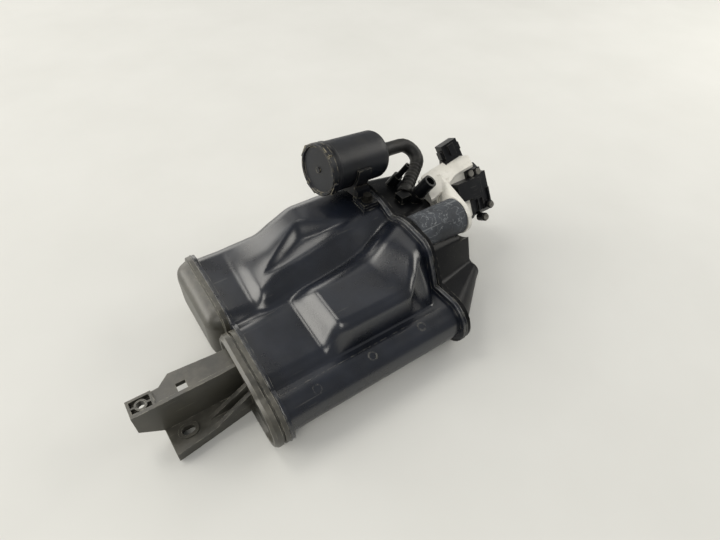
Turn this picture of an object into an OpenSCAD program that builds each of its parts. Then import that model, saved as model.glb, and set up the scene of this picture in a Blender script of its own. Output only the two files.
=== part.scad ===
// Charcoal canister for a fuel tank vent line: three welded carbon chambers,
// a vent filter can with hose, and a leak test pump on a rubber sleeve.
// X runs from the bracket tip to the pump cap, Z is up, sizes in mm.

/* [Canister body] */
// length of the moulded body between its two weld faces
body_len = 185; // [160:1:210]
// far side wall of the body, from the inner edge of the near tube
body_far = 193; // [180:1:205]
// wall of all mouldings
wall = 3; // [2.4:0.1:3.6]
// radius of the near side tube
tube_r = 20; // [18:0.5:22]
// height of the middle roof in front of the step
low_roof = 50; // [47:0.5:54]
// height of the middle roof behind the step
mid_roof = 70; // [66:0.5:74]
// height of the far hump
hump_roof = 83; // [79:0.5:87]
// depth of the leaf shaped hollow in the hump
leaf_depth = 9; // [6:0.5:10]

/* [Weld flanges] */
// how far the weld flanges stand out
flange_out = 5; // [4:0.5:6]
// thickness of one weld flange
flange_thick = 4; // [3:0.5:5]

/* [Front bracket] */
// reach of the bracket in front of the near cover
bracket_len = 84; // [70:1:100]
// height of the upper bracket plate at its root
bracket_top = 44; // [40:0.5:46]
// width of the slotted hole
slot_width = 7; // [6:0.5:8]
// length of the slotted hole
slot_len = 11; // [10:0.5:14]

/* [Carbon pack] */
// thickness of one fleece pad
fleece = 3; // [2:0.5:4]
// thickness of one sprung plate
plate = 4; // [3:0.5:5]
// play between the pack and the chamber walls
play = 0.6; // [0.4:0.1:1]
// wire of the pack springs
wire_r = 1.1; // [0.8:0.1:1.4]

/* [Vent filter] */
// radius of the filter can
can_r = 25; // [22:0.5:28]
// length of the filter can with its lid
can_len = 76; // [68:1:84]
// outer diameter of the vent hose
hose_od = 15; // [13:0.5:17]

/* [Ports] */
// outer diameter of the purge port
purge_od = 14; // [12:0.5:16]
// bore of the purge port
purge_bore = 9.5; // [8:0.5:10]
// outer diameter of the thin port
thin_od = 6.2; // [5:0.2:7]
// bore of the thin port
thin_bore = 3.6; // [3:0.2:4]

/* [Leak test pump] */
// outer radius of the pump sleeve
sleeve_r = 18.5; // [17:0.5:20]
// length of the pump sleeve
sleeve_len = 56; // [50:1:62]
// length of the white pump housing
pump_len = 41; // [37:1:46]
// length of the black pump cap
cap_len = 30; // [26:1:36]

/* [Hidden] */
$fn = 48;
ease = 0.3;
floor_z = flange_out;
tube_y = tube_r - 1;
tube_z = floor_z + tube_r;
tube_top = floor_z + 2 * tube_r;
crease_y = tube_y + 5;
back = body_len + flange_thick;
face = -13;
deep = -5;
tip = face - bracket_len;
sleeve_y = 88.5;
sleeve_z = 73.5;
sleeve_in = sleeve_r - 5;
sleeve_end = back + sleeve_len;
pump_end = sleeve_end + pump_len;
cap_end = pump_end + cap_len;
can_turn = 6.2;
can_dip = 7.6;
can_x = body_len - 50;
can_y = 175.4;
can_z = hump_roof + 10 + can_r;
can_a = [cos(can_dip) * cos(can_turn), cos(can_dip) * sin(can_turn), -sin(can_dip)];
rim_r = can_r + 1;
far_reach = can_y + (can_len - 5) * can_a[1] + (can_r - 0.5) * sqrt(1 - can_a[1] * can_a[1]);
mid_x = (tip + cap_end) / 2;
mid_y = (tube_y - tube_r - flange_out + far_reach) / 2;
port_turn = -50;
port_lean = 31;
purge_at = [back + 36, 132, 76];
thin_at = [back + 30, 167, 72];
pack_x = 17;
bed_x = pack_x + plate + fleece;
pack_end = body_len - 3;
bed_end = pack_end - fleece;
bed_low = floor_z + wall + play;
hose_id = hose_od - 5;
hose_run = 36;
hose_bend = 14.5;
hose_turn = 145;
hose_tail = 45;
hose_roll = 212.8;
can_side = [-sin(can_turn), cos(can_turn), 0];
can_up = cross(can_a, can_side);
hose_side = cos(hose_roll) * can_side + sin(hose_roll) * can_up;
hose_stop = [can_x, can_y, can_z]
  + (can_len + hose_run + hose_bend * sin(hose_turn) + hose_tail * cos(hose_turn)) * can_a
  + (hose_bend - hose_bend * cos(hose_turn) + hose_tail * sin(hose_turn)) * hose_side;
pad_x = body_len - 22;
pad_y = 134;
pad_len = 17;
pad_z = hump_roof + 3;
pump_tilt = -31.7;
pump_top = [128, 95];
pump_wide = 43;
pump_tall = 59;
plug_high = -0.22 * pump_tall;
plug_low = -0.56 * pump_tall;
cap_step = 0.7 * cap_len;
cap_screws = [[5, -9], [15, -9.5], [cap_len - 6, 9 - pump_tall], [13, -2 - pump_tall]];

// a value that runs smoothly through [x, value] pairs along the body
function cell(k, x, i = 0) = (i >= len(k) - 2 || x <= k[i + 1][0]) ? i : cell(k, x, i + 1);
function rise(k, i) = (k[i + 1][1] - k[i][1]) / (k[i + 1][0] - k[i][0]);
function blend(a, b) = a * b <= 0 ? 0 : 2 * a * b / (a + b);
function grade(k, i) = (i == 0 || i == len(k) - 1) ? 0 : blend(rise(k, i - 1), rise(k, i));
function run(k, x) =
  let (i = cell(k, x), h = k[i + 1][0] - k[i][0])
  let (t = max(0, min(1, (x - k[i][0]) / h)), s = 1 - t)
  k[i][1] * (1 + 2 * t) * s * s + grade(k, i) * h * t * s * s
  + k[i + 1][1] * t * t * (3 - 2 * t) - grade(k, i + 1) * h * t * t * s;

// the crease above the tube, the middle roof, the valley and the far hump
crease_run = [[0, crease_y], [166, crease_y], [181, crease_y + 18]];
near_run = [[0, 33], [50, 33], [64, 37], [82, 32], [141, 31], [156, 45], [171, 59], [181, 62]];
near_rise = [
  [0, low_roof], [56, low_roof], [71, mid_roof],
  [136, mid_roof + 0.8], [164, mid_roof + 12], [181, mid_roof + 12]
];
ridge_run = [[0, 88], [58, 87], [72, 84], [135, 86], [150, 90], [181, 98]];
ridge_rise = [
  [0, low_roof + 5], [57, low_roof + 4], [72, mid_roof + 1],
  [105, mid_roof + 2], [124, mid_roof + 3.5], [154, mid_roof + 14], [181, mid_roof + 15]
];
valley_run = [[0, 98], [24, 96], [58, 98], [105, 100], [135, 103], [158, 110], [181, 115]];
valley_rise = [[0, 49], [24, 52], [58, 54], [105, 60], [135, 65], [158, 70], [181, 77]];
snout_run = [[0, 106], [38, 107], [58, 112], [79, 116], [108, 118], [136, 123], [158, 128], [181, 132]];
snout_rise = [
  [0, 57], [25, 57], [38, 66], [58, 69], [79, 72],
  [108, hump_roof - 7], [136, hump_roof - 3.5], [158, hump_roof - 2], [181, hump_roof]
];
crown_run = [[0, 140], [58, 140], [72, 145], [108, 150], [181, 160]];
crown_rise = [[0, 61], [25, 61], [40, 68], [58, 74], [88, 80], [108, hump_roof - 1], [181, hump_roof + 1]];
far_rise = [[0, 62], [62, 61], [86, 72], [110, hump_roof - 1], [150, hump_roof - 1], [181, hump_roof - 4]];

roof_soft = [[0, 6], [56, 6], [74, 9], [181, 9]];
snout_soft = [[0, 6], [28, 6], [44, 8], [181, 8]];
// corners of one body section: across, up, blend length, steps in the blend
function section(x) = let (u = x * 185 / body_len) [
  [tube_y - tube_r, floor_z, tube_r, 8],
  [tube_y - tube_r, tube_top, tube_r, 8],
  [run(crease_run, u), tube_top, 3, 3],
  [run(near_run, u), run(near_rise, u), run(roof_soft, u), 5],
  [run(ridge_run, u), run(ridge_rise, u), run(roof_soft, u), 5],
  [run(valley_run, u), run(valley_rise, u), 5, 5],
  [run(snout_run, u), run(snout_rise, u), run(snout_soft, u), 5],
  [run(crown_run, u), run(crown_rise, u), 12, 5],
  [body_far, run(far_rise, u), 17, 6],
  [body_far, floor_z, 17, 6]
];
near_lobe = [
  [tube_y - tube_r, floor_z, tube_r, 8],
  [tube_y - tube_r, tube_top, tube_r, 8],
  [crease_y, tube_top, 3, 3],
  [33, low_roof, 6, 5],
  [84, low_roof + 5, 6, 5],
  [92, low_roof - 2, 5, 5],
  [92, floor_z, 9, 5]
];
far_lobe = [
  [104, floor_z, 9, 5],
  [104, 51, 5, 5],
  [111, 58, 5, 5],
  [140, 61, 8, 5],
  [body_far, 62, 17, 6],
  [body_far, floor_z, 17, 6]
];
// corners of the rear cover, from the weld face to its closed end
function hood(t) = [
  [tube_y - tube_r + 46 * t, floor_z + 4 * t, tube_r - 12 * t, 8],
  [tube_y - tube_r + 46 * t, tube_top - 13 * t, tube_r - 12 * t, 8],
  [42 + 18 * t, tube_top - 1 - 13 * t, 3, 3],
  [66 + 4 * t, 71 - 9 * t, 5, 4],
  [108 + 4 * t, 76 - 14 * t, 4, 4],
  [116, 77 - 5 * t, 4, 4],
  [135, 78 - 3 * t, 6, 4],
  [body_far - 6 * t, 78 - 6 * t, 14, 6],
  [body_far - 6 * t, floor_z + 4 * t, 14, 6]
];

function unit(v) = v / norm(v);
function cross2(u, v) = u[0] * v[1] - u[1] * v[0];
function point(c) = [c[0], c[1]];
// the same corners moved inward by d, blends kept parallel
function inset(c, d) = [
  for (i = [0:len(c) - 1])
  let (p = point(c[i]), n = len(c))
  let (u = unit(p - point(c[(i + n - 1) % n])), v = unit(point(c[(i + 1) % n]) - p))
  let (k = 1 + u * v, q = p + d * [u[1] + v[1], -u[0] - v[0]] / k)
  [q[0], q[1], max(0.4, c[i][2] + d * cross2(u, v) / k), c[i][3]]
];
// round every corner with a true arc and split the long straight runs
function outline(c, runs = []) = [
  for (i = [0:len(c) - 1])
  let (n = len(c), p = point(c[i]), e = point(c[(i + 1) % n]))
  let (u = unit(p - point(c[(i + n - 1) % n])), v = unit(e - p), r = c[i][2])
  let (w = sqrt((1 + u * v) / 2), a = p - u * r, b = p + v * r, f = e - v * c[(i + 1) % n][2])
  let (m = len(runs) > i ? runs[i] : 0)
  each concat(
    [
      for (s = [0:c[i][3]])
      let (t = s / c[i][3], g = 2 * w * t * (1 - t))
      ((1 - t) * (1 - t) * a + g * p + t * t * b) / ((1 - t) * (1 - t) + g + t * t)
    ],
    [for (s = [1:1:m]) b + (f - b) * s / (m + 1)]
  )
];

// leaf shaped hollow that opens backward across the hump
leaf_corners = [[43, 121], [104, 162], [148, 131], [112, 116], [76, 114]];
leaf_slopes = [14, 16, 20, 20, 16];
function side(q, a, b) = cross2(q - a, unit(b - a));
function leaf(x, y) =
  let (q = [x * 185 / body_len, y])
  let (e = [
    for (i = [0:4]) side(q, leaf_corners[i], leaf_corners[(i + 1) % 5]) / leaf_slopes[i]
  ])
  let (h = max(0, min(1, min(e))))
  leaf_depth * h * h * (3 - 2 * h);
roof_runs = [0, 0, 0, 3, 0, 0, 9, 6, 0, 0];
function ring(x, d) = [
  for (q = outline(inset(section(x), d), roof_runs))
  [x, q[0], q[1] - (q[1] > 50 && d >= 0 ? leaf(x, q[0]) : 0)]
];
function hoop(c, x, d) = [for (q = outline(inset(c, d))) [x, q[0], q[1]]];

function flip(a) = [for (i = [len(a) - 1:-1:0]) a[i]];
// closed skin through rings of equal count, looped or capped at both ends
module skin(rings, looped = false) {
  m = len(rings[0]);
  n = len(rings);
  last = looped ? n - 1 : n - 2;
  sides = [
    for (i = [0:last], j = [0:m - 1])
    let (k = (i + 1) % n, a = i * m + j, b = i * m + (j + 1) % m)
    let (c = k * m + j, d = k * m + (j + 1) % m)
    each [[a, c, d], [a, d, b]]
  ];
  caps = [[for (j = [0:m - 1]) j], [for (j = [m - 1:-1:0]) (n - 1) * m + j]];
  shell = looped ? sides : concat(sides, caps);
  polyhedron(points = [for (r = rings) each r], faces = shell, convexity = 10);
}

module place() translate([-mid_x, -mid_y, 0]) children();
// flat shape in the across and up plane, drawn out along X from x0 to x1
module bar(x0, x1) translate([x0, 0, 0]) rotate([90, 0, 90]) linear_extrude(x1 - x0) children();
// round stock along X
module rod(x0, x1, y, z, r) translate([x0, y, z]) rotate([0, 90, 0]) cylinder(h = x1 - x0, r = r);
module box(p, q) translate(p) cube(q - p);

// moulded partition that follows the valley of the roof
module partition(ways, tops) {
  xs = [for (i = [0:12]) 6 + (pack_end - 6.2) * i / 12];
  h = wall / 2;
  skin(flip([
    for (x = xs)
    let (u = x * 185 / body_len, y = run(ways, u), z = run(tops, u) - 0.4)
    [[x, y - h, floor_z + h], [x, y - h, z], [x, y + h, z], [x, y + h, floor_z + h]]
  ]));
}

module canister_body() {
  f = flange_thick;
  // rings stand closer where the roof steps and hollows
  spots = concat(
    [for (i = [0:5]) 7.2 * i], [for (i = [0:15]) 40 + 4.4 * i], [for (i = [0:7]) 113 + 64 * i / 7]
  );
  outer = [for (t = spots) f + (body_len - 2 * f) * t / 177];
  inner = concat([for (i = [29:-2:15]) i], [for (i = [14:-1:2]) i], [0]);
  color("#1d1f23") place() union() {
    skin(flip(concat(
      [ring(0, -flange_out), ring(f, -flange_out)],
      [for (x = outer) ring(x, 0)],
      [ring(body_len - f, -flange_out), ring(body_len, -flange_out)],
      [ring(body_len, wall)],
      [for (i = inner) ring(outer[i], wall)],
      [ring(0, wall)]
    )), true);
    partition(valley_run, valley_rise);
    // inner half of the near tube
    difference() {
      rod(6, pack_end - 0.2, tube_y, tube_z, tube_r - 0.6);
      rod(5, pack_end, tube_y, tube_z, tube_r - wall + 0.4);
      box([4, tube_y - tube_r - 2, 0], [body_len, tube_y - 1.2, 60]);
    }
    // pad that carries the filter saddle
    difference() {
      box([pad_x, pad_y, hump_roof - 2.6], [pad_x + pad_len, pad_y + 20, pad_z]);
      translate([pad_x + 8.5, pad_y + 7, pad_z - 6]) cylinder(h = 7, r = 1.9);
    }
  }
}

module bracket() {
  b = bracket_len / 84;
  x0 = face + 5;
  rib = wall + 0.5;
  top = bracket_top;
  slot_x = face - 51 * b;
  slot_half = (slot_len - slot_width) / 2;
  // upper plate with its stepped far edge, square hole and pocketed tip pad
  difference() {
    union() {
      translate([0, 0, top - 4.5]) linear_extrude(4.5) difference() {
        polygon([
          [x0, 62], [x0, 85.3], [face - 6, 85.3], [face - 48 * b, 88],
          [face - 58 * b, 79.5], [tip, 78], [tip, 62]
        ]);
        translate([face - 46 * b, 66.5]) square([8, 8.5]);
      }
      box([tip, 62, top - 4.5], [tip + 20 * b, 79, top + 2]);
    }
    difference() {
      box([tip + 2.2, 65.4, top - 2.4], [tip + 20 * b - 2.2, 76.8, top + 5]);
      translate([tip + 10 * b, 71, top - 3]) cylinder(h = 4.4, r = 5);
      box([tip, 70.2, top - 3], [tip + 22 * b, 71.8, top + 1.4]);
    }
    translate([tip + 10 * b, 71, top - 5]) cylinder(h = 8, r = 3.2);
  }
  // web down to the foot plate, its edge raised above the upper plate
  translate([0, 62 + rib, 0]) rotate([90, 0, 0]) linear_extrude(rib) polygon([
    [tip, top + 2], [tip, top - 19], [tip + 17 * b, 11], [tip + 17 * b, 1],
    [x0, 1], [x0, top + 3.5], [face - 12 * b, top + 2.4]
  ]);
  // foot plate with a turned down rim, the slotted hole and a raised ring round it
  difference() {
    union() {
      translate([0, 0, 1]) linear_extrude(9.5) polygon([
        [tip + 17 * b, 64], [x0, 64], [x0, 46], [face - 36 * b, 40], [tip + 18 * b, 36]
      ]);
      hull() for (s = [-1, 1]) translate([slot_x + s * slot_half, 51.5, 5])
        cylinder(h = 7, d = slot_width + 6);
    }
    linear_extrude(6.5) polygon([
      [tip + 20 * b, 61], [face - 3, 61], [face - 3, 48.6], [face - 36 * b, 43.4], [tip + 21 * b, 39.4]
    ]);
    for (s = [-1, 1]) translate([slot_x + s * slot_half, 51.5, 0]) cylinder(h = 14, d = slot_width);
    box([slot_x - slot_half, 51.5 - slot_width / 2, 0], [slot_x + slot_half, 51.5 + slot_width / 2, 14]);
  }
  // two gussets from the foot plate to the cover
  translate([0, 54, 0]) rotate([90, 0, 0]) linear_extrude(rib) polygon([
    [face - 34 * b, 10], [x0, 33], [x0, 10]
  ]);
  translate([face - 36 * b, 43.6, 0]) rotate([90, 0, atan2(6, 5 + 36 * b)]) linear_extrude(rib) polygon([
    [2, 10], [41 * b, 25], [41 * b, 10]
  ]);
}

module front_near_cover() {
  color("#3b3a35") place() union() {
    skin([
      hoop(near_lobe, deep, wall + 2), hoop(near_lobe, 0, wall + 2), hoop(near_lobe, 0, -flange_out),
      hoop(near_lobe, -4, -flange_out), hoop(near_lobe, -4, -flange_out + 2.5),
      hoop(near_lobe, -6, -flange_out + 2.5), hoop(near_lobe, -6, -flange_out),
      hoop(near_lobe, -10.5, -flange_out), hoop(near_lobe, face, -flange_out + 2.2),
      hoop(near_lobe, face, 0), hoop(near_lobe, face + 3.2, 2.4)
    ]);
    bracket();
  }
}

module front_far_cover() {
  color("#35342f") place() skin([
    hoop(far_lobe, deep, wall + 4), hoop(far_lobe, 0, wall + 4), hoop(far_lobe, 0, -flange_out),
    hoop(far_lobe, -4, -flange_out), hoop(far_lobe, -5, -2), hoop(far_lobe, -9, -0.5),
    hoop(far_lobe, -13, 2), hoop(far_lobe, -16, 6), hoop(far_lobe, -17.6, 12), hoop(far_lobe, -18, 17)
  ]);
}

// place things along the leaning port direction
module along_port(at) translate(at) rotate([0, 0, port_turn]) rotate([0, port_lean, 0]) children();

module rear_cover() {
  x1 = back + 62;
  x2 = back + 47;
  color("#141518") place() {
    difference() {
      union() {
        difference() {
          union() {
            skin([ring(back, -flange_out), ring(body_len, -flange_out)]);
            skin(flip(concat(
              [hoop(hood(0), back - 1, 0)],
              [for (i = [0:5]) hoop(hood(i / 5), back + 58 * i / 5, 0)],
              [hoop(hood(1), x1 - 1.6, 1), hoop(hood(1), x1, 3.4)]
            )));
          }
          box([body_len - 1, 123, 12], [x2 - 4, body_far - 12, 68]);
          box([body_len - 1, 62, 12], [x2 - 4, 112, 34]);
          box([x2, 90, 0], [x1 + 5, body_far + 20, 120]);
          box([x1 - 1, 0, 0], [x1 + 5, 120, 120]);
          rod(x2, x1 + 5, sleeve_y, sleeve_z, sleeve_r + 7);
          box([body_len - 1, tube_y - 7, tube_z - 7.5], [back + 7, 63, tube_z + 7.5]);
          rod(body_len - 1, back + 1, sleeve_y, sleeve_z, sleeve_in - 1);
          rod(back + 0.3, x1 + 3, sleeve_y, sleeve_z, sleeve_r + ease);
        }
        along_port(purge_at) {
          translate([0, 0, -8]) cylinder(h = 8 + 29, d = purge_od);
          translate([0, 0, -8]) cylinder(h = 8 + 9, d = purge_od + 3);
        }
        along_port(thin_at) {
          translate([0, 0, -8]) cylinder(h = 8 + 36, d = thin_od);
          translate([0, 0, -8]) cylinder(h = 8 + 18, d = thin_od + 5);
        }
        // tower under the hose end
        translate([hose_stop[0] - 11, hose_stop[1] - 11, 70]) cube([12, 12, hose_stop[2] + 5 - 70]);
      }
      along_port(purge_at) translate([0, 0, -10]) cylinder(h = 60, d = purge_bore);
      along_port(thin_at) translate([0, 0, -10]) cylinder(h = 60, d = thin_bore);
      hose_frame() tail_frame() translate([-20, 0, 0]) rotate([0, 90, 0]) cylinder(h = 20, d = hose_od + 2);
    }
    // spigot inside the hose end
    hose_frame() tail_frame() translate([-14, 0, 0]) rotate([0, 90, 0]) difference() {
      cylinder(h = 20, d = hose_id - 0.4);
      translate([0, 0, -1]) cylinder(h = 18, d = hose_id - 3.4);
    }
  }
}

// flat shapes of the carbon beds, chamfered to clear the rounded walls
module near_shape() translate([tube_y, tube_z]) circle(r = tube_r - wall - play);
module mid_shape() polygon([[47, bed_low], [93, bed_low], [93, low_roof - 4], [47, low_roof - 4]]);
module mid_rise() polygon([[60, bed_low], [80, bed_low], [80, mid_roof - 6], [60, mid_roof - 6]]);
module far_shape() {
  y1 = body_far - wall - play;
  polygon([
    [118, bed_low], [y1 - 12, bed_low], [y1, bed_low + 12], [y1, 44], [y1 - 9, 53], [118, 53]
  ]);
}
module far_rise() {
  y1 = body_far - wall - play;
  polygon([
    [130, bed_low], [y1 - 12, bed_low], [y1, bed_low + 12],
    [y1, hump_roof - 24], [y1 - 9, hump_roof - 18], [130, hump_roof - 18]
  ]);
}
// rows of through holes in a sprung plate
module holes(y0, y1, z0, z1, pitch) {
  for (y = [y0:pitch:y1], z = [z0:pitch:z1]) translate([y, z]) circle(r = 2.2);
}

module near_carbon() color("#101010") place() bar(bed_x, bed_end) near_shape();
module mid_carbon() color("#101010") place() union() {
  bar(bed_x, bed_end) mid_shape();
  bar(82, bed_end) mid_rise();
}
module far_carbon() color("#101010") place() union() {
  bar(bed_x, bed_end) far_shape();
  bar(112, bed_end) far_rise();
}
module near_fleece() color("#c9c6bb") place() {
  bar(bed_x - fleece, bed_x) near_shape();
  bar(bed_end, pack_end) near_shape();
}
module mid_fleece() color("#c9c6bb") place() {
  bar(bed_x - fleece, bed_x) mid_shape();
  bar(bed_end, pack_end) union() {
    mid_shape();
    mid_rise();
  }
}
module far_fleece() color("#c9c6bb") place() {
  bar(bed_x - fleece, bed_x) far_shape();
  bar(bed_end, pack_end) union() {
    far_shape();
    far_rise();
  }
}
module near_plate() color("#4a4a48") place() bar(pack_x, pack_x + plate) difference() {
  near_shape();
  for (a = [0:60:300]) translate([tube_y + 9 * cos(a), tube_z + 9 * sin(a)]) circle(r = 2.2);
}
module mid_plate() color("#4a4a48") place() bar(pack_x, pack_x + plate) difference() {
  mid_shape();
  holes(53, 88, bed_low + 6, low_roof - 8, 9);
}
module far_plate() color("#4a4a48") place() bar(pack_x, pack_x + plate) difference() {
  far_shape();
  holes(125, 182, bed_low + 8, 47, 11);
}

// open coil along X with nearly flat end turns
module coil(y, z, r) {
  turns = 4;
  flat = 200;
  x0 = deep + wire_r;
  x1 = pack_x - wire_r;
  all = turns * 360;
  skin(flip([
    for (a = [0:30:all])
    let (x = x0 + (x1 - x0) * max(0, min(1, (a - flat) / (all - 2 * flat))))
    [
      for (b = [0:72:288])
      [x + wire_r * sin(b), y + (r + wire_r * cos(b)) * cos(a), z + (r + wire_r * cos(b)) * sin(a)]
    ]
  ]));
}
module pack_springs() color("#8d9094") place() {
  coil(tube_y, tube_z, tube_r - 10);
  coil(68, 27, 12);
  coil(150, 31, 14);
}

module rear_grid() color("#2a2b2d") place() bar(pack_end, body_len) difference() {
  polygon(outline(inset(section(body_len), wall + 1)));
  for (a = [0:60:300]) translate([tube_y + 9 * cos(a), tube_z + 9 * sin(a)]) circle(r = 2.4);
  holes(66, 92, 18, 74, 11);
  holes(126, 182, 18, 74, 11);
}

// filter can frame: X along the can, from the face of its lid
module can_frame() translate([can_x, can_y, can_z]) rotate([0, can_dip, can_turn]) children();
module turned() rotate([0, 90, 0]) rotate_extrude() children();

module filter_can() {
  r = can_r;
  n = can_len;
  color("#17181b") place() can_frame() turned() polygon([
    [r - 2.5, 6], [r, 6], [r, 9], [r + 0.9, 9.8], [r + 0.9, 12.2], [r, 13],
    [r - 0.5, n - 5], [r - 1.8, n - 1.6],
    [r - 5, n], [hose_id / 2 - 0.2, n], [hose_id / 2 - 0.2, n + 18], [hose_id / 2 - 1.7, n + 18],
    [hose_id / 2 - 1.7, n - 2.5], [r - 5.5, n - 2.5], [r - 3, n - 6]
  ]);
}
module filter_lid() {
  r = can_r - 2.5 - ease;
  color("#15161a") place() can_frame() union() {
    turned() polygon([
      [0, 2], [rim_r - 3.6, 2], [rim_r - 2.6, 0], [rim_r - 0.8, 0], [rim_r, 0.8], [rim_r, 6],
      [r, 6], [r, 12], [r - 2, 12], [r - 2, 4.5], [0, 4.5]
    ]);
    // four snap clips round the rim and a nub in the middle
    for (a = [20:90:290]) rotate([a, 0, 0]) box([0.9, -7, rim_r - 2.4], [5.4, 7, rim_r + 0.9]);
    rod(0.9, 3, 0, 0, 3);
  }
}
module filter_element() color("#b9a98a") place() can_frame() turned()
  translate([10, 4.5]) square([can_r - 16.5, can_len - 2.5 - 4.5]);

// cradle under the can with a foot on the body pad
module filter_saddle() {
  r = can_r + ease;
  color("#232427") place() difference() {
    union() {
      can_frame() bar(30, 46) difference() {
        union() {
          circle(r = r + 2.8);
          translate([-r - 3, -r]) square([r + 3, 9]);
        }
        circle(r = r);
        translate([-r - 20, 4]) square([2 * r + 40, r + 20]);
        translate([r - 7, -r]) square([20, 2 * r]);
      }
      box([pad_x, pad_y, pad_z], [pad_x + pad_len, pad_y + 20, pad_z + 3.5]);
      box([pad_x + 1, pad_y + 14, pad_z], [pad_x + pad_len - 1, pad_y + 20, pad_z + 12]);
    }
    can_frame() bar(20, 60) circle(r = r);
    translate([pad_x + 8.5, pad_y + 7, pad_z - 6]) cylinder(h = 20, r = 2.2);
  }
}
module saddle_screw() color("#2b2a27") place() translate([pad_x + 8.5, pad_y + 7, pad_z + 3.5]) union() {
  cylinder(h = 1.6, r = 6);
  translate([0, 0, 1]) cylinder(h = 6, r = 4.6, $fn = 6);
  translate([0, 0, -6]) cylinder(h = 6.5, r = 1.8);
}

// hose frame: X out of the can, Y toward the inside of the bend
module hose_frame() can_frame() translate([can_len, 0, 0]) rotate([hose_roll, 0, 0]) children();
module tail_frame() translate([
  hose_run + hose_bend * sin(hose_turn) + hose_tail * cos(hose_turn),
  hose_bend - hose_bend * cos(hose_turn) + hose_tail * sin(hose_turn), 0
]) rotate([0, 0, hose_turn]) children();

// centre line of the hose: straight out, round the bend, straight into the tail
hose_arc = hose_bend * hose_turn * PI / 180;
hose_all = hose_run + hose_arc + hose_tail;
function hose_path(s) =
  let (a = hose_turn * max(0, min(1, (s - hose_run) / hose_arc)))
  let (t = min(s, hose_run), u = max(0, s - hose_run - hose_arc))
  [t + hose_bend * sin(a) + u * cos(a), hose_bend * (1 - cos(a)) + u * sin(a), a];
function hose_ring(s, r) = let (p = hose_path(s)) [
  for (b = [0:24:336]) [p[0] - r * cos(b) * sin(p[2]), p[1] + r * cos(b) * cos(p[2]), r * sin(b)]
];

module vent_hose() {
  a = hose_od / 2;
  b = hose_id / 2;
  ribs = 8;
  step = (hose_tail - 8) / ribs;
  wave = [[-0.9, 0.1], [-0.9, 0.45], [0, 0.55], [0, 0.95]];
  outer = concat(
    [[0.4, a + 0.6], [16, a + 0.6], [17, a], [26, a]],
    [for (i = [0:8]) [hose_run + hose_arc * i / 8, a]],
    [for (i = [0:ribs - 1], c = wave) [hose_run + hose_arc + 2 + (i + c[1]) * step, a + c[0]]],
    [[hose_all - 6, a], [hose_all - 5, a + 0.6], [hose_all, a + 0.6]]
  );
  inner = concat([hose_all], [for (i = [8:-1:0]) hose_run + hose_arc * i / 8], [0.4]);
  color("#26241f") place() hose_frame() skin(concat(
    [for (q = outer) hose_ring(q[0], q[1])],
    [for (s = inner) hose_ring(s, b)]
  ), true);
}

module pump_sleeve() color("#3a3f45") place() difference() {
  rod(back + 0.5, sleeve_end, sleeve_y, sleeve_z, sleeve_r);
  rod(back - 1, sleeve_end + 1, sleeve_y, sleeve_z, sleeve_in);
}
module sleeve_ring() color("#151515") place() translate([back + 36, sleeve_y, sleeve_z]) turned()
  translate([sleeve_in - 1.3, 0]) circle(r = 1.3);

// pump frame: Y across its white face, Z out of it, origin on its near edge
module pump_frame() translate([0, pump_top[0], pump_top[1]]) rotate([pump_tilt, 0, 0]) children();
module pump_shape(d = 0) {
  c = 5;
  polygon([
    [d, -d - c], [d + c, -d], [pump_wide - d - c, -d], [pump_wide - d, -d - c],
    [pump_wide - d, d + c - pump_tall], [pump_wide - d - c, d - pump_tall], [d + c, d - pump_tall],
    [d, d + c - pump_tall]
  ]);
}
module motor_room(gap) pump_frame()
  rod(pump_end - 23 - gap, pump_end - 4 + gap, pump_wide / 2, -pump_tall / 2, 11 + gap);

// top block of the pump, pitched up away from the canister
module block_frame() translate([sleeve_end - 18, 113, 80]) rotate([0, -15.3, 0]) children();
module block_lip() polygon([
  [7, 1], [10, 0.5], [30, 4], [47, 11], [53, 10.5], [70, 9], [76, 23], [64, 34], [34, 35.5], [21, 35]
]);
module block_body() polygon([[15, 4], [42, 11], [57, 16], [60, 18], [60, 33], [15, 34]]);

module pump_housing() color("#e9e7e0") place() difference() {
  union() {
    hull() {
      rod(sleeve_end, sleeve_end + 4, sleeve_y, sleeve_z, sleeve_r + 1);
      pump_frame() bar(pump_end - 27, pump_end - 25) pump_shape(0.4);
    }
    pump_frame() bar(pump_end - 26.5, pump_end) pump_shape();
    block_frame() translate([0, 0, -3.4]) linear_extrude(3.4) block_lip();
    difference() {
      block_frame() translate([0, 0, -30]) linear_extrude(28) block_body();
      box([pump_end, 60, 0], [pump_end + 60, 220, 140]);
    }
    rod(sleeve_end - 18, sleeve_end + 1, sleeve_y, sleeve_z, sleeve_in - 2.6);
    rod(sleeve_end - 4, sleeve_end + 1, sleeve_y, sleeve_z, sleeve_in - 0.4);
  }
  motor_room(ease);
  rod(sleeve_end - 20, sleeve_end + 9, sleeve_y, sleeve_z, sleeve_in - 7);
  difference() {
    rod(back, sleeve_end, sleeve_y, sleeve_z, sleeve_r + ease);
    rod(back - 1, sleeve_end + 1, sleeve_y, sleeve_z, sleeve_in - 0.2);
  }
}
module pump_motor() color("#777a7d") place() motor_room(0);

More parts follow.
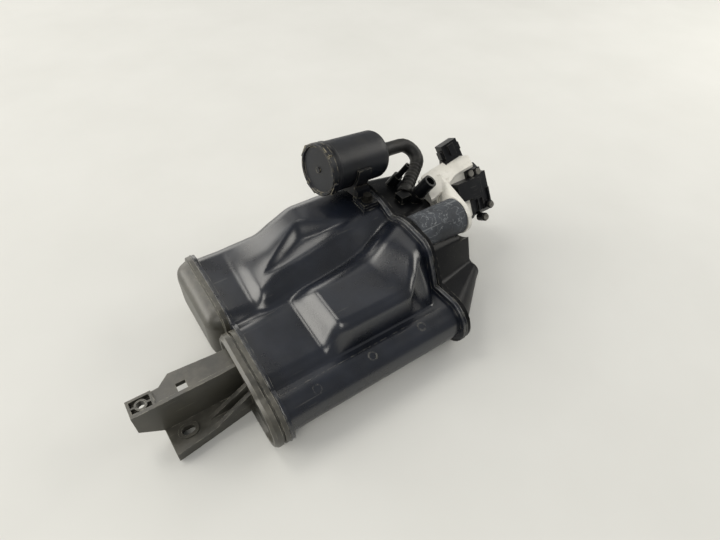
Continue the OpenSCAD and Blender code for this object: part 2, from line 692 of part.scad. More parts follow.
module pump_cap() {
  m = pump_end;
  color("#131417") place() difference() {
    pump_frame() union() {
      difference() {
        bar(m, cap_end) pump_shape(1);
        box([m + cap_step, -5, plug_high], [cap_end + 5, pump_wide + 5, 10]);
      }
      bar(m, m + 4) pump_shape(-0.5);
      // block and lugs for the cap screws
      box([m + 0.6, -2, -19], [m + cap_step, 4, -6]);
      for (q = cap_screws)
        translate([m + q[0], -4, q[1]]) rotate([-90, 0, 0]) cylinder(h = 9, r = 4.6);
      // plug housing on the near face
      box([m - 22, -13, plug_low], [m + 6, -0.3, plug_high]);
      box([m + 0.3, -13, plug_low], [m + 6, 3, plug_high]);
      box([m + 1, -5, plug_low - 5], [m + 16, 2, plug_high - 3]);
      // stiffening ribs below it
      for (x = [m + 10, m + 17, cap_end - 3]) box([x, -1, 6 - pump_tall], [x + 2, 3, plug_low + 2]);
    }
    valve_room(ease);
    block_frame() translate([0, 0, -3.8]) linear_extrude(12) block_lip();
    for (q = cap_screws)
      pump_frame() translate([m + q[0], -5, q[1]]) rotate([-90, 0, 0]) cylinder(h = 14, r = 1.7);
  }
}
module valve_room(gap) pump_frame() translate([pump_end - gap, pump_wide / 2, -pump_tall / 2])
  rotate([0, 90, 0]) cylinder(h = cap_step - 3 + gap, r = 12 + gap);
module pump_valve() color("#6d6f70") place() valve_room(0);
// plug that leans back behind the far edge of the top block
module pump_plug() color("#1a1a1c") place() block_frame() difference() {
  union() {
    box([50, 29, -7], [72, 40, 1]);
    translate([63, 36, -2]) rotate([-30, 0, 0]) {
      box([-10, -7, -6], [10, 6, 18]);
      box([-13, -4, 4], [13, 3, 12]);
      box([-3.5, -9.5, 4], [3.5, 0, 16]);
    }
  }
  translate([0, 0, -3.4]) linear_extrude(3.4) block_lip();
  translate([0, 0, -30]) linear_extrude(28) block_body();
  box([20, -10, -60], [90, 80, -7]);
}
module pump_screws() color("#4b4a46") place() pump_frame() {
  for (q = cap_screws)
    translate([pump_end + q[0], -4, q[1]]) rotate([-90, 0, 0]) union() {
      translate([0, 0, -2]) cylinder(h = 2, r = 3.4);
      cylinder(h = 8, r = 1.6);
    }
}

canister_body();
front_near_cover();
front_far_cover();
rear_cover();
rear_grid();
near_carbon();
mid_carbon();
far_carbon();
near_fleece();
mid_fleece();
far_fleece();
near_plate();
mid_plate();
far_plate();
pack_springs();
filter_can();
filter_lid();
filter_element();
filter_saddle();
saddle_screw();
vent_hose();
pump_sleeve();
sleeve_ring();
pump_housing();
pump_motor();
pump_valve();
pump_cap();
pump_plug();
pump_screws();
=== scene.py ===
import math

import bmesh
import bpy
import numpy as np
from mathutils import Matrix, Vector


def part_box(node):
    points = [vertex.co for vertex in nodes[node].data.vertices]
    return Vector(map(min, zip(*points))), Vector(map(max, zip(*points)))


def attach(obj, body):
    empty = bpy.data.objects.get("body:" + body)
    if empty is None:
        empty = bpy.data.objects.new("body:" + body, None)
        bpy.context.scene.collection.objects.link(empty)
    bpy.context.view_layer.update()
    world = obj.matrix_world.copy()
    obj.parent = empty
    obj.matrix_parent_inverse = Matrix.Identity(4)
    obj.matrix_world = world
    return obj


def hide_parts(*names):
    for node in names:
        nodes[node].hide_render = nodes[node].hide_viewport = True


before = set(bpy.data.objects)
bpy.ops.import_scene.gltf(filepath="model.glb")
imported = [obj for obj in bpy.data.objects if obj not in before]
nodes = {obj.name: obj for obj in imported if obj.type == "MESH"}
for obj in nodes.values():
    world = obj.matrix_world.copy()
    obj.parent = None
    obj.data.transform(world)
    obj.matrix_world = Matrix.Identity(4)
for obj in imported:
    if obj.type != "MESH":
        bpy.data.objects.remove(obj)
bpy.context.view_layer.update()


# Canister body
# One long moulding in black glass filled nylon, open at both ends. Its roof
# steps up twice over three carbon chambers, and a weld flange runs round each
# end, where a hot plate has melted the covers on.

class Shade:
    """One socket of a finish, so that shader maths reads as arithmetic."""

    def __init__(self, tree, socket):
        self.tree = tree
        self.socket = socket

    def node(self, kind, settings, sockets, out=0):
        made = self.tree.nodes.new("ShaderNode" + kind)
        for key, value in settings.items():
            setattr(made, key, value)
        for key, value in sockets.items():
            if isinstance(value, Shade):
                self.tree.links.new(value.socket, made.inputs[key])
            else:
                made.inputs[key].default_value = value
        return Shade(self.tree, made.outputs[out])

    def math(self, operation, a, b):
        return self.node("Math", {"operation": operation}, {0: a, 1: b})

    def __add__(self, other):
        return self.math("ADD", self, other)

    def __radd__(self, other):
        return self.math("ADD", other, self)

    def __sub__(self, other):
        return self.math("SUBTRACT", self, other)

    def __rsub__(self, other):
        return self.math("SUBTRACT", other, self)

    def __mul__(self, other):
        return self.math("MULTIPLY", self, other)

    def __rmul__(self, other):
        return self.math("MULTIPLY", other, self)

    def step(self, low, high):
        return self.node(
            "MapRange",
            {"interpolation_type": "SMOOTHSTEP"},
            {"Value": self, "From Min": low, "From Max": high},
        )

    def noise(self, scale, detail=3.0, rough=0.55):
        return self.node(
            "TexNoise", {}, {"Vector": self, "Scale": scale, "Detail": detail, "Roughness": rough}
        )

    def turned(self, turn, scale):
        return self.node("Mapping", {}, {"Vector": self, "Rotation": turn, "Scale": scale})

    def between(self, low, high):
        return self.node("Mix", {"data_type": "RGBA"}, {0: self, 6: low, 7: high}, out=2)


def tone(code):
    """Linear colour of a hex code."""
    parts = [int(code[i : i + 2], 16) / 255 for i in (1, 3, 5)]
    return tuple(c / 12.92 if c <= 0.04045 else ((c + 0.055) / 1.055) ** 2.4 for c in parts) + (1.0,)


def begin_finish(name):
    """A new finish, with the sockets of its place on the piece and of the way the surface faces."""
    material = bpy.data.materials.new(name)
    material.use_nodes = True
    tree = material.node_tree
    start = Shade(tree, None)
    place = start.node("TexCoord", {}, {}, out=3)
    facing = start.node("NewGeometry", {}, {}, out=1)
    return material, place, facing


def end_finish(material, place, varying, fixed):
    """Feed the varying sockets of a finish and set the fixed ones."""
    shader = material.node_tree.nodes["Principled BSDF"]
    for key, value in varying.items():
        place.tree.links.new(value.socket, shader.inputs[key])
    for key, value in fixed.items():
        shader.inputs[key].default_value = value
    return material


def hairlines(place, turn, fine, keep):
    """Thin straight scratches that run one way and break off."""
    drawn = place.turned(turn, (9.0, fine, fine)).noise(1.0, 2.0, 0.4).step(0.69, 0.72)
    broken = place.noise(38.0, 2.0).step(keep, keep + 0.1)
    return drawn * broken


def edge_wear(place, facing, radius):
    """High along outer edges, where handling has rubbed the moulding; on the black mouldings this edge also
    carries a painted highlight.
    """
    softened = place.node("Bevel", {"samples": 4}, {"Radius": radius})
    flatness = place.node("VectorMath", {"operation": "DOT_PRODUCT"}, {0: softened, 1: facing}, out=1)
    return (1 - flatness).step(0.015, 0.16) * place.noise(160.0, 3.0).step(0.42, 0.62)


def moulded(name, deep, pale, dust, worn_and_highlight, gloss, dusty, grain_depth, bend=1.42, rub_and_highlight=0.45):
    """Black moulded plastic: cloudy sheen, fine grain, settled dust, scratches and rubbed edges, whose pale
    tone is partly wear and partly a painted highlight.
    """
    material, place, facing = begin_finish(name)
    cloud = place.noise(24.0, 5.0)
    patch = place.noise(75.0, 4.0, 0.6)
    grain = place.noise(1500.0, 3.0)
    lines = hairlines(place, (0.2, 0.1, 0.5), 620.0, 0.5) + hairlines(place, (0.5, 0.9, -0.7), 760.0, 0.55)
    lifted = place.node("SeparateXYZ", {}, {0: facing}, out=2).step(0.3, 0.95)
    settled = lifted * patch.step(0.38, 0.72) * dusty
    rubbed = edge_wear(place, facing, 0.0011)
    colour = cloud.step(0.3, 0.7).between(tone(deep), tone(pale))
    colour = settled.between(colour, tone(dust))
    colour = (lines * 0.16).between(colour, tone(worn_and_highlight))
    # The pale tone on the edges is partly rubbed wear and partly a painted highlight where the edges catch
    # the light.
    colour = (rubbed * rub_and_highlight).between(colour, tone(worn_and_highlight))
    rough = gloss + 0.16 * cloud + 0.35 * settled + 0.2 * lines + 0.15 * rubbed
    height = grain * 0.6 + patch * 0.8 - lines * 0.5
    bump = place.node("Bump", {}, {"Strength": 0.35, "Distance": grain_depth, "Height": height})
    return end_finish(
        material,
        place,
        {"Base Color": colour, "Roughness": rough, "Normal": bump},
        {"IOR": bend},
    )


def dress(name, material, edge=0.0004):
    """Give a solid its finish, even shading and a small moulded radius on its edges."""
    piece = nodes[name]
    piece.data.materials.clear()
    piece.data.materials.append(material)
    piece.data.polygons.foreach_set("use_smooth", np.ones(len(piece.data.polygons), bool))
    weld = piece.modifiers.new("weld", "WELD")
    weld.merge_threshold = 0.00001
    if edge:
        bevel = piece.modifiers.new("edge", "BEVEL")
        bevel.width = edge
        bevel.segments = 2
        bevel.limit_method = "ANGLE"
        bevel.angle_limit = math.radians(38)
        bevel.miter_outer = "MITER_ARC"
    even = piece.modifiers.new("even", "WEIGHTED_NORMAL")
    even.keep_sharp = False
    return piece


BODY_LEN = 185.0
WALL = 3.0
FLANGE_OUT = 5.0
FLANGE_THICK = 4.0
BEAD = 0.7
LEAF_DEPTH = 9.0
PAD_LOW, PAD_HIGH = (163.0, 134.0, 80.4), (180.0, 154.0, 86.0)
NEAR_WALL, FAR_WALL = -1, 193
UNDERSIDE = 5
PACK_START, PACK_END = 6.0, 181.8
TUBE_Y, TUBE_Z = 19, 25
TUBE_OUTER, TUBE_INNER = 18.6, 16.8
PARTITION_HALF = 1.5
PARTITION_FOOT = 6.5
STATIONS = 92

CREASE = [(0, 26.5), (166, 26.5), (181, 44)]
CREASE_TOP = 43.0
NEAR_EDGE = [(0, 33), (50, 33), (64, 37), (82, 32), (141, 31), (156, 45), (171, 59), (181, 62)]
NEAR_ROOF = [(0, 50), (54, 50), (56.5, 51.4), (70, 67.5), (74, 70), (140, 70.8), (168, 82), (181, 82)]
RIDGE_EDGE = [(0, 88), (58, 87), (72, 84), (135, 86), (150, 90), (181, 98)]
RIDGE_ROOF = [
    (0, 55), (55, 54), (57.5, 55.6), (71, 69.2), (75, 71.2), (105, 72), (128, 73.5), (159, 84), (181, 85)
]
VALLEY_EDGE = [(0, 98), (24, 96), (58, 98), (105, 100), (135, 103), (158, 110), (181, 115)]
VALLEY_ROOF = [(0, 49), (24, 52), (58, 54), (105, 60), (135, 65), (158, 70), (181, 77)]
SNOUT_EDGE = [(0, 106), (38, 107), (58, 112), (79, 116), (108, 118), (136, 123), (158, 128), (181, 132)]
SNOUT_ROOF = [(0, 57), (25, 57), (38, 66), (58, 69), (79, 72), (108, 76), (136, 79.5), (158, 81), (181, 83)]
CROWN_EDGE = [(0, 140), (58, 140), (72, 145), (108, 150), (181, 160)]
CROWN_ROOF = [(0, 61), (25, 61), (40, 68), (58, 74), (88, 80), (108, 82), (181, 84)]
FAR_ROOF = [(0, 62), (62, 61), (86, 72), (110, 82), (150, 82), (181, 79)]
ROOF_SOFT = [(0, 6), (56, 6), (74, 9), (181, 9)]
SNOUT_SOFT = [(0, 6), (28, 6), (44, 8), (181, 8)]
LEAF_CORNERS = np.array([(40, 121), (101, 163), (153, 132), (112, 116), (76, 114)], float)
LEAF_SLOPES = (13.0, 20.0, 30.0, 30.0, 20.0)
LEAF_SOFT = 0.12
RING_MARKS = [(34, 10, 3.6), (89, 11.5, 3.6), (143.5, 13, 3.6)]
RING_PROFILE = ((-0.45, -0.3), (-0.2, 0.22), (0.2, 0.22), (0.45, -0.3))

corner_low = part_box("canister_body")[0] * 1000
SHIFT = np.array((corner_low.x, corner_low.y + FLANGE_OUT - NEAR_WALL, 0.0))


def run(pairs, x):
    """A value that runs smoothly through pairs along the body, with no overshoot."""
    i = max(k for k in range(len(pairs) - 1) if k == 0 or x > pairs[k][0])
    rises = [(b[1] - a[1]) / (b[0] - a[0]) for a, b in zip(pairs, pairs[1:])]

    def grade(k):
        if k in (0, len(pairs) - 1) or rises[k - 1] * rises[k] <= 0:
            return 0.0
        return 2 * rises[k - 1] * rises[k] / (rises[k - 1] + rises[k])

    (x0, v0), (x1, v1) = pairs[i], pairs[i + 1]
    h = x1 - x0
    t = min(1.0, max(0.0, (x - x0) / h))
    s = 1 - t
    return (
        v0 * (1 + 2 * t) * s * s + grade(i) * h * t * s * s
        + v1 * t * t * (3 - 2 * t) - grade(i + 1) * h * t * t * s
    )


def section(x):
    """Corners of the body across its length: across, up, blend length, steps in the blend."""
    return [
        (NEAR_WALL, UNDERSIDE, 20, 24), (NEAR_WALL, 45, 20, 24), (run(CREASE, x), CREASE_TOP, 2, 6),
        (run(NEAR_EDGE, x), run(NEAR_ROOF, x), run(ROOF_SOFT, x), 12),
        (run(RIDGE_EDGE, x), run(RIDGE_ROOF, x), run(ROOF_SOFT, x), 12),
        (run(VALLEY_EDGE, x), run(VALLEY_ROOF, x), 5, 12),
        (run(SNOUT_EDGE, x), run(SNOUT_ROOF, x), run(SNOUT_SOFT, x), 12),
        (run(CROWN_EDGE, x), run(CROWN_ROOF, x), 12, 12),
        (FAR_WALL, run(FAR_ROOF, x), 17, 16), (FAR_WALL, UNDERSIDE, 17, 16),
    ]


ROOF_RUNS = (0, 0, 0, 16, 0, 0, 30, 30, 0, 0)


def cross(u, v):
    """How far v turns from u, as the area between them."""
    return u[0] * v[1] - u[1] * v[0]


def inset(corners, depth):
    """The same corners moved inward, with the blends kept parallel."""
    moved = []
    for i, (y, z, blend, steps) in enumerate(corners):
        p = np.array((y, z), float)
        u = p - np.array(corners[i - 1][:2], float)
        v = np.array(corners[(i + 1) % len(corners)][:2], float) - p
        u, v = u / np.linalg.norm(u), v / np.linalg.norm(v)
        k = 1 + u @ v
        q = p + depth * np.array((u[1] + v[1], -u[0] - v[0])) / k
        moved.append((q[0], q[1], max(0.4, blend + depth * cross(u, v) / k), steps))
    return moved


def outline(corners, runs):
    """Points round the corners, each blended by a true arc, with long runs split."""
    points = []
    count = len(corners)
    for i, (y, z, blend, steps) in enumerate(corners):
        p = np.array((y, z), float)
        e = np.array(corners[(i + 1) % count][:2], float)
        u = p - np.array(corners[i - 1][:2], float)
        v = e - p
        u, v = u / np.linalg.norm(u), v / np.linalg.norm(v)
        weight = math.sqrt((1 + u @ v) / 2)
        a, b = p - u * blend, p + v * blend
        f = e - v * corners[(i + 1) % count][2]
        for s in range(steps + 1):
            t = s / steps
            g = 2 * weight * t * (1 - t)
            points.append(((1 - t) ** 2 * a + g * p + t * t * b) / ((1 - t) ** 2 + g + t * t))
        points += [b + (f - b) * s / (runs[i] + 1) for s in range(1, runs[i] + 1)]
    return points


def leaf(x, y):
    """Depth of the leaf shaped hollow in the hump, with its walls run softly into each other."""
    q = np.array((x, y))
    near = 0.0
    for i, slope in enumerate(LEAF_SLOPES):
        a, b = LEAF_CORNERS[i], LEAF_CORNERS[(i + 1) % len(LEAF_SLOPES)]
        share = cross(q - a, (b - a) / np.linalg.norm(b - a)) / slope
        near += math.exp(-max(-2.0, share) / LEAF_SOFT)
    share = min(1.0, max(0.0, -LEAF_SOFT * math.log(near)))
    return LEAF_DEPTH * share * share * (3 - 2 * share)


def body_ring(x, depth):
    """The body's section at x, inset by depth, with the leaf sunk into its roof."""
    return [
        (x, y, z - (leaf(x, y) if z > 50 and depth >= 0 else 0.0))
        for y, z in outline(inset(section(x), depth), ROOF_RUNS)
    ]


def skin(rings, looped):
    """Vertices and faces through rings of equal count."""
    m, n = len(rings[0]), len(rings)
    faces = [
        (i * m + j, i * m + (j + 1) % m, (i + 1) % n * m + (j + 1) % m, (i + 1) % n * m + j)
        for i in range(n if looped else n - 1)
        for j in range(m)
    ]
    if not looped:
        faces += [tuple(range(m))[::-1], tuple(range((n - 1) * m, n * m))]
    return [p for ring in rings for p in ring], faces


def block(low, high):
    """Vertices and faces of a plain box."""
    ring = [(low[1], low[2]), (low[1], high[2]), (high[1], high[2]), (high[1], low[2])]
    return skin([[(x, y, z) for y, z in ring] for x in (low[0], high[0])][::-1], False)


def moulding(name, parts, material, stands_for, edge):
    """One visible piece from closed skins in millimetres, put where its solid is."""
    points, faces = [], []
    for part_points, part_faces in parts:
        faces += [tuple(i + len(points) for i in face) for face in part_faces]
        points += list(part_points)
    mesh = bpy.data.meshes.new(name)
    mesh.from_pydata([tuple((np.array(p) + SHIFT) / 1000) for p in points], [], faces)
    turned_out = bmesh.new()
    turned_out.from_mesh(mesh)
    bmesh.ops.recalc_face_normals(turned_out, faces=turned_out.faces)
    turned_out.to_mesh(mesh)
    turned_out.free()
    mesh.polygons.foreach_set("use_smooth", np.ones(len(faces), bool))
    mesh.materials.append(material)
    piece = bpy.data.objects.new(name, mesh)
    bpy.context.scene.collection.objects.link(piece)
    bevel = piece.modifiers.new("edge", "BEVEL")
    bevel.width = edge
    bevel.segments = 2
    bevel.limit_method = "ANGLE"
    bevel.angle_limit = math.radians(40)
    piece.modifiers.new("even", "WEIGHTED_NORMAL")
    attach(piece, "root")
    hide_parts(stands_for)
    return piece


def ring_mark(x, y, radius):
    """A thin raised ring that an ejector pin has left on the top of the moulding."""
    rings = []
    for turn in np.linspace(0, 2 * math.pi, 40, endpoint=False):
        ring = []
        for out, lift in RING_PROFILE:
            px = x + (radius + out) * math.cos(turn)
            py = y + (radius + out) * math.sin(turn)
            top = sorted((q, r) for _, q, r in body_ring(px, 0.0) if r > 30)
            ring.append((px, py, lift + float(np.interp(py, *zip(*top)))))
        rings.append(ring)
    return skin(rings, True)


def weld_bead(x, out, radius):
    """A thin rolled bead of melt that the weld has squeezed out round the flange."""
    rings = []
    for k in range(8):
        t = 2 * math.pi * k / 8
        ring = body_ring(x + radius * math.cos(t), -out - radius * math.sin(t))
        rings.append([(along, y, max(z, 0.0)) for along, y, z in ring])
    return skin(rings, True)


def body_parts():
    """The hollow moulding, its partition, the inner half of the tube and the saddle pad."""
    stations = np.linspace(FLANGE_THICK, BODY_LEN - FLANGE_THICK, STATIONS)
    shell = [body_ring(0.0, -FLANGE_OUT), body_ring(FLANGE_THICK, -FLANGE_OUT)]
    shell += [body_ring(x, 0.0) for x in stations]
    shell += [body_ring(BODY_LEN - FLANGE_THICK, -FLANGE_OUT), body_ring(BODY_LEN, -FLANGE_OUT)]
    shell += [body_ring(x, WALL) for x in (BODY_LEN, *stations[::-4], 0.0)]
    dividing = []
    for x in np.linspace(PACK_START, PACK_END, 13):
        near, far = run(VALLEY_EDGE, x) - PARTITION_HALF, run(VALLEY_EDGE, x) + PARTITION_HALF
        top = run(VALLEY_ROOF, x) - 0.4
        dividing.append([(x, near, PARTITION_FOOT), (x, near, top), (x, far, top), (x, far, PARTITION_FOOT)])
    turns = [math.radians(a) for a in range(-87, 88, 6)]
    arc = []
    for radius, order in ((TUBE_OUTER, turns), (TUBE_INNER, turns[::-1])):
        arc += [(TUBE_Y + radius * math.cos(a), TUBE_Z + radius * math.sin(a)) for a in order]
    tube = [[(x, y, z) for y, z in arc[::-1]] for x in (PACK_START, PACK_END)]
    solids = [skin(shell, True), skin(dividing, False), skin(tube, False), block(PAD_LOW, PAD_HIGH)]
    beads = [weld_bead(x, FLANGE_OUT, BEAD) for x in (BEAD, BODY_LEN - FLANGE_THICK, BODY_LEN - BEAD)]
    return solids + beads + [ring_mark(*mark) for mark in RING_MARKS]


# The pale rubbed edges of the body, set strong here, are partly wear and partly a painted highlight along
# the flange edges.
body_finish = moulded(
    "body_nylon", deep="#0b0e15", pale="#141924", dust="#3e3f40", worn_and_highlight="#7b796f",
    gloss=0.2, dusty=0.05, grain_depth=0.00008, bend=1.72, rub_and_highlight=0.75,
)
moulding("body_moulding", body_parts(), body_finish, "canister_body", 0.0006)


# Front covers
# Two moulded caps are hot plate welded over the front of the chambers. The
# near one carries the bracket, in the same piece, and both have gone chalky.

# The pale rubbed edges are partly wear and partly a painted highlight on the rolled rims of the flanges.
cover_finish = moulded(
    "cover_nylon", deep="#35342f", pale="#45433b", dust="#77736a", worn_and_highlight="#b3ae9f",
    gloss=0.3, dusty=0.35, grain_depth=0.0003, bend=1.6, rub_and_highlight=0.6,
)
dress("front_near_cover", cover_finish, 0.0005)

FAR_LOBE = [
    (104, UNDERSIDE, 9, 10), (104, 51, 5, 8), (111, 58, 5, 8), (140, 61, 8, 8),
    (FAR_WALL, 62, 17, 16), (FAR_WALL, UNDERSIDE, 17, 16),
]
RECESS = -5.0
RECESS_WALL = WALL + 4
FAR_STEPS = (
    (RECESS, RECESS_WALL), (0, RECESS_WALL), (0, -FLANGE_OUT), (-FLANGE_THICK, -FLANGE_OUT), (-5, -2),
    (-9, -0.5), (-11.4, 0.6), (-13.4, 2), (-15.2, 4), (-16.5, 6.5), (-17.5, 9.4), (-18, 12.2),
)


def hoop(corners, x, depth):
    """One ring of a cover at x, inset by depth."""
    return [(x, y, z) for y, z in outline(inset(corners, depth), [0] * len(corners))]


far_dome = skin([hoop(FAR_LOBE, x, depth) for x, depth in FAR_STEPS], False)
moulding("far_cover_moulding", [far_dome], cover_finish, "front_far_cover", 0.0005)


# Rear cover
# The rear chamber is one glossy moulding with the purge port, the thin tank
# port and the spigot of the vent hose, welded to the back flange of the body.

rear_finish = moulded(
    "rear_nylon", deep="#08090b", pale="#0f1013", dust="#45433c", worn_and_highlight="#8b887c",
    gloss=0.26, dusty=0.05, grain_depth=0.0002, bend=1.24, rub_and_highlight=0.6,
)
dress("rear_cover", rear_finish, 0.0004)


# Carbon pack
# Loose black carbon fills each chamber between felt pads. A perforated plate
# and a coil spring press it back against the grid in front of the rear cover.

def carbon_granules():
    """Dull black granules."""
    material, place, _ = begin_finish("carbon_granules")
    cells = place.node("TexVoronoi", {"feature": "F1"}, {"Vector": place, "Scale": 420.0})
    speck = place.noise(900.0, 3.0)
    colour = (speck * 0.7 + cells * 0.4).between(tone("#080808"), tone("#232323"))
    rough = 0.55 + 0.35 * speck
    bump = place.node("Bump", {}, {"Strength": 0.9, "Distance": 0.0012, "Height": 1 - cells})
    return end_finish(material, place, {"Base Color": colour, "Roughness": rough, "Normal": bump}, {})


def felt_fibres(name, deep, pale):
    """Matted pale fibres."""
    material, place, _ = begin_finish(name)
    along = place.turned((0.3, 0.8, 0.2), (300.0, 2600.0, 2600.0)).noise(1.0, 3.0)
    across = place.turned((1.2, 0.2, 0.9), (2600.0, 300.0, 2600.0)).noise(1.0, 3.0)
    matted = along * 0.5 + across * 0.5
    colour = (matted * 0.8 + place.noise(60.0) * 0.3).step(0.25, 0.8).between(tone(deep), tone(pale))
    bump = place.node("Bump", {}, {"Strength": 0.7, "Distance": 0.0006, "Height": matted})
    return end_finish(
        material, place, {"Base Color": colour, "Roughness": 0.8 + 0.2 * matted, "Normal": bump}, {}
    )


def drawn_wire(name, deep, pale, metal, rough_base):
    """Drawn steel with stains."""
    material, place, _ = begin_finish(name)
    lines = place.turned((0.0, 0.0, 0.0), (3000.0, 240.0, 3000.0)).noise(1.0, 3.0)
    stain = place.noise(120.0, 4.0).step(0.45, 0.75)
    colour = stain.between(lines.between(tone(pale), tone(deep)), tone(deep))
    bump = place.node("Bump", {}, {"Strength": 0.25, "Distance": 0.0002, "Height": lines})
    return end_finish(
        material,
        place,
        {"Base Color": colour, "Roughness": rough_base + 0.2 * lines + 0.15 * stain, "Normal": bump},
        {"Metallic": metal},
    )


granules = carbon_granules()
felt = felt_fibres("felt_pads", "#a8a496", "#d6d2c6")
inner_finish = moulded(
    "inner_nylon", deep="#2c2d2d", pale="#454644", dust="#6c6a62", worn_and_highlight="#8a8984",
    gloss=0.5, dusty=0.2, grain_depth=0.0004,
)
for chamber in ("near", "mid", "far"):
    dress(chamber + "_carbon", granules, 0)
    dress(chamber + "_fleece", felt, 0)
    dress(chamber + "_plate", inner_finish, 0.0003)
dress("rear_grid", inner_finish, 0)
dress("pack_springs", drawn_wire("spring_wire", "#5d6064", "#a9acb0", 1.0, 0.25), 0)


# Vent filter
# A round plastic can with a snapped lid holds a paper ring that keeps road
# dust out of the vent. A saddle screwed to the hump carries it.

can_finish = moulded(
    "can_nylon", deep="#0c0e13", pale="#161920", dust="#55524a", worn_and_highlight="#a5a08f",
    gloss=0.34, dusty=0.12, grain_depth=0.0003,
)
dress("filter_can", can_finish, 0.0005)
lid_finish = moulded(
    "lid_nylon", deep="#0c0e13", pale="#161920", dust="#55524a", worn_and_highlight="#b7ad92",
    gloss=0.34, dusty=0.1, grain_depth=0.0003, rub_and_highlight=0.95,
)
dress("filter_lid", lid_finish, 0.0005)
dress("filter_element", felt_fibres("filter_paper", "#9c8b68", "#c9b892"), 0)
dress("filter_saddle", can_finish, 0.0004)
dress("saddle_screw", drawn_wire("dark_screws", "#1d1c1a", "#4a4843", 0.85, 0.35), 0.0003)


# Vent hose
# A formed rubber hose leads from the can into the rear cover. Its tail is
# convoluted so that it bends into place without kinking.

hose_finish = moulded(
    "hose_rubber", deep="#0f0f0f", pale="#191918", dust="#4f4b43", worn_and_highlight="#5c5952",
    gloss=0.42, dusty=0.25, grain_depth=0.0004,
)
dress("vent_hose", hose_finish, 0)


# Leak test pump
# A rubber sleeve seated in the rear cover grips the neck of a white plastic
# pump housing. A black cap with its plug housing is screwed on the far face.

def chalky_sleeve():
    """Grey rubber with a chalky bloom, scuffs and fine creases."""
    material, place, _ = begin_finish("sleeve_rubber")
    cloud = place.noise(40.0, 5.0, 0.65)
    fine = place.noise(900.0, 3.0)
    scuffs = hairlines(place, (0.1, 0.3, 1.35), 300.0, 0.3) + hairlines(place, (0.6, 0.2, 0.2), 420.0, 0.35)
    bloom = cloud.step(0.35, 0.75)
    colour = bloom.between(tone("#22252a"), tone("#474b51"))
    wander = place.noise(120.0, 3.0, 0.5)
    rising = wander.step(0.48, 0.5)
    creases = (rising - rising * wander.step(0.5, 0.52)) * cloud.step(0.42, 0.58)
    colour = (scuffs * 0.4).between(colour, tone("#8f9395"))
    colour = (creases * 0.6).between(colour, tone("#8f9395"))
    height = fine * 0.5 + cloud - scuffs
    bump = place.node("Bump", {}, {"Strength": 0.4, "Distance": 0.0004, "Height": height})
    return end_finish(
        material, place, {"Base Color": colour, "Roughness": 0.55 + 0.25 * bloom, "Normal": bump}, {}
    )


def white_housing():
    """Off white plastic with grime and rubbed edges."""
    material, place, facing = begin_finish("pump_plastic")
    cloud = place.noise(55.0, 4.0)
    grime = place.noise(130.0, 5.0, 0.65).step(0.52, 0.78)
    rubbed = edge_wear(place, facing, 0.0012)
    colour = cloud.between(tone("#d8d5cb"), tone("#e9e7e0"))
    colour = (grime * 0.3 + rubbed * 0.25).between(colour, tone("#8d8778"))
    grain = place.noise(1600.0, 3.0)
    bump = place.node("Bump", {}, {"Strength": 0.3, "Distance": 0.0003, "Height": grain + grime})
    return end_finish(
        material, place, {"Base Color": colour, "Roughness": 0.42 + 0.25 * grime, "Normal": bump}, {}
    )


dress("pump_sleeve", chalky_sleeve(), 0.0008)
dress("sleeve_ring", hose_finish, 0)
dress("pump_housing", white_housing(), 0.0006)
cap_finish = moulded(
    "cap_nylon", deep="#08090b", pale="#101115", dust="#3f3d38", worn_and_highlight="#77756f",
    gloss=0.26, dusty=0.1, grain_depth=0.0003,
)
dress("pump_cap", cap_finish, 0.0005)
dress("pump_plug", cap_finish, 0.0004)
dress("pump_screws", drawn_wire("cap_screws", "#5a5853", "#aaa79f", 0.9, 0.32), 0.0003)
pump_metal = drawn_wire("pump_metal", "#70747a", "#b4b8bc", 1.0, 0.3)
dress("pump_motor", pump_metal, 0.0004)
dress("pump_valve", pump_metal, 0.0004)


# Floor, lights and camera
# A pale round floor under soft lamps like windows, seen from the front and
# well above, as a part is photographed on a bench.

FLOOR_MIDDLE = (0.15, 0.1)
FLOOR_RADIUS = 1.45
FLOOR_SIDES = 96
floor_edge = []
for k in range(FLOOR_SIDES):
    t = 2 * math.pi * k / FLOOR_SIDES
    reach = (FLOOR_RADIUS * math.cos(t), FLOOR_RADIUS * math.sin(t))
    floor_edge.append((FLOOR_MIDDLE[0] + reach[0], FLOOR_MIDDLE[1] + reach[1], 0))
floor_mesh = bpy.data.meshes.new("floor")
floor_mesh.from_pydata(floor_edge, [], [tuple(range(FLOOR_SIDES))])
floor = bpy.data.objects.new("floor", floor_mesh)
bpy.context.scene.collection.objects.link(floor)
floor_finish, floor_place, _ = begin_finish("pale_floor")
floor_colour = floor_place.noise(6.0, 4.0).between(tone("#d2d2ce"), tone("#dededb"))
end_finish(
    floor_finish, floor_place, {"Base Color": floor_colour}, {"Roughness": 0.9, "Specular IOR Level": 0.05}
)
floor_mesh.materials.append(floor_finish)

world = bpy.data.worlds.new("studio")
bpy.context.scene.world = world
world.use_nodes = True
world.node_tree.nodes["Background"].inputs["Color"].default_value = (0.92, 0.95, 1.0, 1.0)
world.node_tree.nodes["Background"].inputs["Strength"].default_value = 0.25


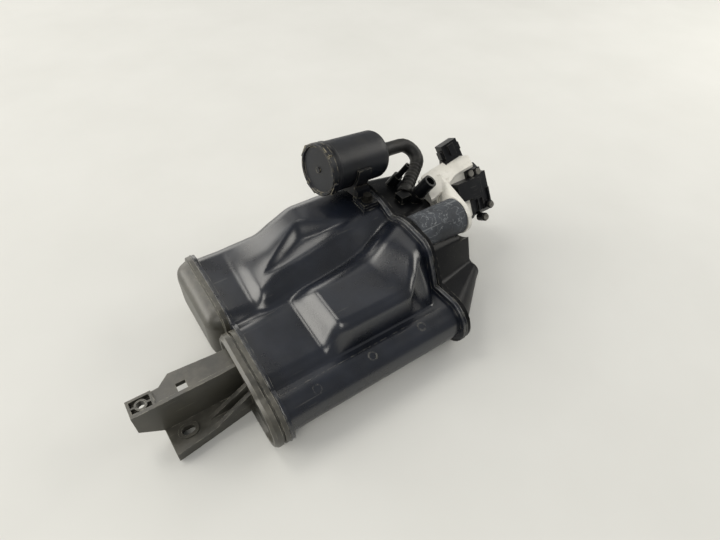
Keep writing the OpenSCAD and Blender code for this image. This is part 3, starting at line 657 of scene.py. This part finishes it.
def softbox(name, where, aim, size, power):
    """A soft rectangular lamp that faces a point."""
    lamp = bpy.data.lights.new(name, "AREA")
    lamp.color = (1.0, 0.97, 0.9)
    lamp.shape = "RECTANGLE"
    lamp.size, lamp.size_y = size
    lamp.energy = power
    holder = bpy.data.objects.new(name, lamp)
    holder.location = where
    holder.rotation_euler = (Vector(aim) - Vector(where)).to_track_quat("-Z", "Y").to_euler()
    bpy.context.scene.collection.objects.link(holder)


HUMP_TOP = (0.0, 0.0, 0.08)
MIDDLE_ROOF = (0.0, 0.0, 0.06)
softbox("far_window", (-3.0, 1.9, 1.45), HUMP_TOP, (3.2, 2.9), 130.0)
softbox("far_wall", (0.0, 3.5, 1.0), HUMP_TOP, (3.4, 1.9), 45.0)
softbox("far_skylight", (-0.4, 1.05, 1.75), MIDDLE_ROOF, (0.8, 0.7), 8.0)
softbox("right_window", (1.5, -0.25, 0.85), MIDDLE_ROOF, (1.3, 0.7), 12.0)
softbox("open_door", (-0.8, -1.0, 1.45), MIDDLE_ROOF, (0.8, 0.8), 10.0)
softbox("ceiling", (1.2, 1.0, 1.4), MIDDLE_ROOF, (1.6, 1.0), 3.0)

CAMERA_PLACE = (-0.17037, -0.27815, 0.39009)
HEADING = math.radians(54.64)
PITCH = 0.7931
ROLL = 0.03
UP = Vector((0, 0, 1))
ahead = Vector((math.cos(HEADING), math.sin(HEADING), 0.0))
right = Vector((math.sin(HEADING), -math.cos(HEADING), 0.0))
look = math.cos(PITCH) * ahead - math.sin(PITCH) * UP
down = -math.sin(PITCH) * ahead - math.cos(PITCH) * UP
across = math.cos(ROLL) * right - math.sin(ROLL) * down
upward = -(math.sin(ROLL) * right + math.cos(ROLL) * down)
turn = Matrix((across, upward, -look)).transposed().to_4x4()
camera_data = bpy.data.cameras.new("camera")
camera_data.lens = 24.6
camera_data.sensor_width = 36.0
camera_data.clip_start = 0.01
camera = bpy.data.objects.new("camera", camera_data)
camera.matrix_world = Matrix.Translation(CAMERA_PLACE) @ turn
bpy.context.scene.collection.objects.link(camera)
bpy.context.scene.camera = camera
bpy.context.scene.view_settings.view_transform = "Standard"
